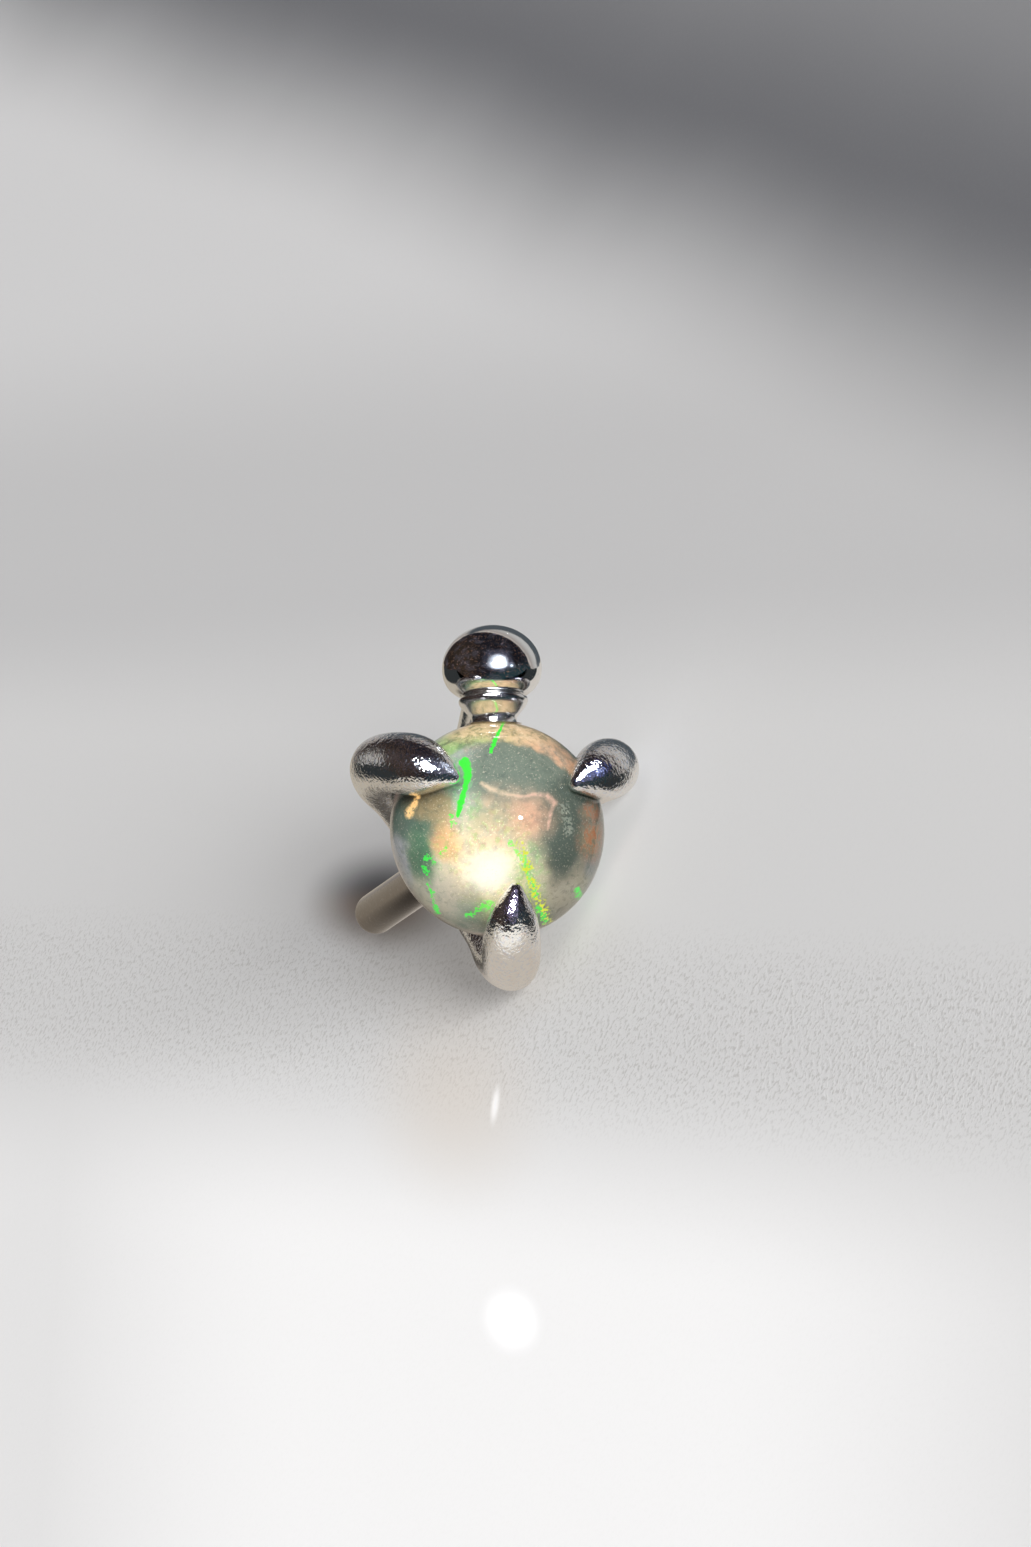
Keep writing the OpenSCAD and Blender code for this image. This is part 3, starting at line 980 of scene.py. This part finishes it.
@dataclass
class Studio:
    """The plain floor, the light and what the pieces mirror.

    key is the way to the key light along the picture's axes. The glow round it is full within glow_full
    degrees and gone beyond glow_end degrees.
    """

    outlook: Outlook
    key: Triple = (0.25, 0.27, 0.93)
    glow_full: float = 12
    glow_end: float = 42

    def floor(self) -> Piece:
        """Makes the floor, a wide flat sheet whose own picture the metal doesn't mirror."""
        s = FLOOR_HALF
        sheet = linked("floor", [(-s, -s, 0), (s, -s, 0), (s, s, 0), (-s, s, 0)], [(0, 1, 2, 3)])
        sheet.data.materials.append(PaleFloor().material(self.outlook))
        sheet.visible_glossy = False
        return sheet

    def _reached(self, name: str, lit: list[Piece]) -> bpy.types.Collection:
        """The collection of the objects that a card or lamp of this name reaches."""
        only = bpy.data.collections.new(name + "_lights")
        for piece in lit:
            only.objects.link(piece)
        return only

    def _card(self, name: str, axes: np.ndarray, box: Row, light: Callable, lit: list[Piece]) -> None:
        """Makes a glowing card that only some pieces mirror.

        Args:
            name: the card's name.
            axes: rows of its middle, the way across it and the way along it, in mm.
            box: from where to where it reaches across and then along.
            light: given the card's node tree, returns its colour and how solid it is.
            lit: the pieces that mirror it.
        """
        middle, across, along = axes
        x0, x1, y0, y1 = box
        corners = [(middle + across * x + along * y) / MM_PER_M for x, y in ((x0, y0), (x1, y0), (x1, y1), (x0, y1))]
        card = linked(name, np.array(corners).tolist(), [(0, 1, 2, 3)])
        made, tree = new_material(name)
        colour, solid = light(tree)
        tree.surface({"Base Color": BLACK, "Roughness": 1.0, "Specular IOR Level": 0.0, "Alpha": solid,
                      "Emission Color": colour, "Emission Strength": 1.0})
        card.data.materials.append(made)
        for rays in ("camera", "diffuse", "transmission", "volume_scatter", "shadow"):
            setattr(card, f"visible_{rays}", False)
        card.light_linking.receiver_collection = self._reached(name, lit)

    def ground(self, name: str, near: float, far: float, lit: list[Piece]) -> None:
        """Makes a strip of the pale ground that the polish mirrors, under the head as the picture shows it.

        Args:
            name: the strip's name.
            near: where it ends towards the camera, in mm from the stone's middle.
            far: where it ends away from the camera.
            lit: the pieces that mirror it.
        """
        right, up, back = self.outlook.axes()
        c, s = cos_sin(GROUND_LEAN)
        upright, forward = up * c + back * s, back * c - up * s
        middle = np.array(self.outlook.stance.girdle) - upright * GROUND_BELOW

        def light(tree: Tree) -> tuple[Value, float]:
            """The ground's colour, dark beyond its two sides and in the head's shade."""
            axes = np.stack([right, upright, forward])
            spot = tree.mapped(tree.coordinates(), axes, middle / MM_PER_M, 1 / MM_PER_M)
            x, _, z = tree.parts(spot)
            off, away, behind = x + 1.5, z + 2.6, (-1.2 - z).most(0)
            shade = (off * off * 0.35 + away * away * 0.12).root().fall(0.35, 1.1)
            pale = tree.layered(
                (0.55, 0.50, 0.44),
                (z.rise(1.3, 2.0), (0.97, 0.94, 0.88)),
                (x.rise(1.4, 2.6) * 0.7, (0.66, 0.64, 0.61)),
                ((0 - x).rise(0.9, 2.4) * 0.55, (0.42, 0.38, 0.30)),
                (tree.noise(spot, 1.6, 3, 0.6).rise(0.45, 0.7) * 0.25, (0.40, 0.34, 0.28)),
                (shade * 0.9, (0.05, 0.045, 0.04)),
            )
            inside = (x + 4.4 + behind * 0.5).rise(0, 0.8) * (3.4 + behind * 1.2 - x).rise(0, 0.6)
            return tree.mix(inside, (0.03, 0.034, 0.036), pale), 1.0

        self._card(name, np.stack([middle, right, forward]), (-STRIP_HALF, STRIP_HALF, far, near), light, lit)

    def glint(self, piece: Piece, way: Triple, core: float, halo: float, core_light: Triple,
              halo_light: Triple) -> None:
        """Makes a round bright window with a soft halo, which one piece mirrors.

        Its card is partly clear, so that it hides little of what else the piece mirrors.

        Args:
            piece: the piece that mirrors it.
            way: the way to it along the picture's right, its up and back to the camera.
            core: how wide its bright core looks, as a radius in degrees.
            halo: how wide its halo looks, as a radius in degrees.
            core_light: the core's light.
            halo_light: the halo's light.
        """
        view = self.outlook.axes()
        out = np.array(way) @ view
        out = out / np.linalg.norm(out)
        side = np.cross(out, view[1])
        side = side / np.linalg.norm(side)
        top = np.cross(side, out)
        middle = np.array(self.outlook.stance.girdle) + out * GLINT_AWAY
        core_r, halo_r = math.tan(math.radians(core)), math.tan(math.radians(halo))

        def light(tree: Tree) -> tuple[Value, Value]:
            """The window's colour, and how solid its core and its halo are."""
            spot = tree.mapped(tree.coordinates(), np.stack([side, top, out]), middle / MM_PER_M,
                               GLINT_AWAY / MM_PER_M)
            x, y, _ = tree.parts(spot)
            away = (x * x + y * y).root()
            bright = away.fall(core_r * 0.75, core_r * 1.25)
            return tree.mix(bright, halo_light, core_light), bright.most(away.fall(0, halo_r)) * GLINT_SOLID

        half = GLINT_AWAY * math.tan(math.radians(max(halo, core * 1.3)))
        self._card(f"glint_{piece.name}_{way[0]:.2f}", np.stack([middle, side, top]), (-half, half) * 2, light,
                   [piece])

    def surroundings(self) -> None:
        """Makes the room that the polish mirrors.

        A dark room takes up the side that the stone looks at, out to a slanted edge. Beyond that edge are a
        pale line, a grey backdrop and a darker corner up on the right. A soft glow lies round the key light.
        """
        axes = self.outlook.axes()
        world = bpy.data.worlds.new("studio")
        bpy.context.scene.world = world
        tree = Tree(world)
        way = tree.coordinates("Generated")
        a, b, c = (tree.dot(way, axis) for axis in axes)
        edge = c - a * 0.54 - b * 0.37 + 0.729 + (tree.noise(way, 6, 3, 0.6) - 0.5) * 0.06
        corner = (a * 0.75 + b * 0.66).rise(0.08, 0.2) * (0 - c).rise(0.58, 0.68) * b.rise(-0.1, 0.12)
        drop = tree.layered((0.50, 0.50, 0.495), (edge.rise(-0.35, -0.05), (0.34, 0.315, 0.30)),
                            (edge.rise(-0.07, -0.045) * edge.fall(-0.03, -0.005) * 0.5, (0.75, 0.66, 0.60)),
                            (corner * 0.95, (0.055, 0.07, 0.085)))
        mist = tree.noise(way, 3.5, 4, 0.65).rise(0.45, 0.75)
        glints = tree.noise(way, 26, 2, 0.6).rise(0.63, 0.72)
        inside = tree.layered((0.010, 0.011, 0.016), ((0 - a).rise(0.15, 0.9), (0.03, 0.022, 0.017)),
                              ((a * 0.55 - b * 0.83).rise(0.2, 0.75), (0.018, 0.04, 0.048)),
                              (mist * 0.5, (0.10, 0.095, 0.12)),
                              (glints * 0.8, tree.mix(mist, (0.85, 0.45, 0.28), (0.55, 0.58, 0.9))))
        key = np.array(self.key) / np.linalg.norm(self.key)
        near = tree.dot(way, key @ axes)
        halo = near.rise(cos_sin(self.glow_end)[0], cos_sin(self.glow_full)[0])
        glow = tree.mix(halo * mist.most(0.25), BLACK, (0.40, 0.42, 0.62))
        all_round = tree.mix(1.0, tree.mix(edge.rise(-0.01, 0.03), drop, inside), glow, "ADD")
        shader = tree.node("ShaderNodeBackground", {}, {"Color": all_round, "Strength": 1.0})
        tree.finish(shader, "ShaderNodeOutputWorld")

    def lamp(self, name: str, way: Triple, power: float, spread: float, lit: list[Piece],
             shades: bool = True) -> None:
        """Makes a broad far lamp that isn't mirrored.

        Args:
            name: the lamp's name.
            way: the way to it along the picture's right, its up and back to the camera.
            power: how strong it is.
            spread: how wide it looks, in degrees.
            lit: the only objects that it lights.
            shades: whether the pieces throw a shadow in its light.
        """
        data = bpy.data.lights.new(name, "SUN")
        data.angle = math.radians(spread)
        data.energy = power
        sun = bpy.data.objects.new(name, data)
        sun.rotation_mode = "QUATERNION"
        sun.rotation_quaternion = Vector(np.array(way) @ self.outlook.axes()).to_track_quat("Z", "Y")
        sun.visible_glossy = False
        bpy.context.collection.objects.link(sun)
        only = self._reached(name, lit)
        sun.light_linking.receiver_collection = only
        if not shades:
            sun.light_linking.blocker_collection = only

    def build(self, pieces: list[Piece]) -> None:
        """Makes the floor, what the pieces mirror and the lamps, and sets the plain view of colours.

        Args:
            pieces: all the pieces of the object.
        """
        sheet = self.floor()
        named = {piece.name: piece for piece in pieces}
        claws = [piece for piece in pieces if "claw" in piece.name]
        self.surroundings()
        self.ground("mirrored_ground", 0.8, -60, pieces)
        self.ground("mirrored_front", 2.85, 0.8, claws)
        white, above = (300, 308, 320), (-0.358, 0.713, 0.747)
        for name, *window in [
            ("bead", (0.23, 0.235, 0.94), 9, 28, white, (14, 15.5, 18)),
            ("bead", (0.69, 0.11, 0.72), 3, 12, (6, 7, 8), (1.2, 1.4, 1.8)),
            ("neck", (-0.05, 0.50, 0.86), 13, 30, white, (5, 5, 5.5)),
            ("claw_left", (-0.09, 0.22, 0.97), 10, 30, white, (3.0, 3.2, 4.0)),
            ("claw_left", (0.75, 0.45, 0.48), 5, 30, (9, 9.5, 11), (2.6, 2.9, 3.6)),
            ("claw_left", (-0.93, 0.16, -0.35), 14, 30, (1.5, 1.5, 1.45), (0.8, 0.8, 0.76)),
            ("claw_right", (0.22, 0.8, 0.56), 8, 28, white, (1.0, 1.1, 2.8)),
            ("claw_right", (0.68, 0.4, 0.6), 4, 26, (6, 7, 11), (0.7, 0.9, 2.4)),
            ("claw_lower", (0.085, 0.31, 0.947), 6.5, 36, white, (2.2, 1.7, 3.0)),
            ("opal_shell", (0.45, 0.283, 0.847), 2.2, 5, (300, 300, 310), (2, 2, 2)),
        ]:
            self.glint(named[name], *window)
        self.lamp("overhead", above, 3.0, 50, pieces)
        self.lamp("front", self.key, 1.7, 20, pieces)
        self.lamp("fill", above, 1.84, 50, [sheet], False)
        self.lamp("low", (0.2217, 0.1434, 0.9651), 6.2, 18, [sheet])
        bpy.context.scene.view_settings.view_transform = "Standard"
        bpy.context.scene.view_settings.look = "None"


def main() -> None:
    """Builds the scene in order.
    """
    logging.basicConfig(level=logging.INFO, format="%(name)s: %(message)s")
    outlook = Outlook()
    outlook.camera()
    stance, metal = outlook.stance, PolishedWhiteMetal()
    parts = (Setting(stance, metal), Opal(outlook, ClearShell(), CrystalOpal()), PushPin(stance, metal))
    pieces = [piece for part in parts for piece in part.build()]
    for piece in pieces:
        log.info("%s: %d faces", piece.name, len(piece.data.polygons))
    Studio(outlook).build(pieces)


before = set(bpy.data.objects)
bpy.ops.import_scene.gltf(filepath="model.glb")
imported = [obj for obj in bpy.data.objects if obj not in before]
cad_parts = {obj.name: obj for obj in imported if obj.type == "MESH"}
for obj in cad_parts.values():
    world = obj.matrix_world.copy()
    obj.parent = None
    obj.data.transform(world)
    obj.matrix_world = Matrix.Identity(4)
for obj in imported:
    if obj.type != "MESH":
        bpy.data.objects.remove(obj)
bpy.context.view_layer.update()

if __name__ == "__main__":
    main()
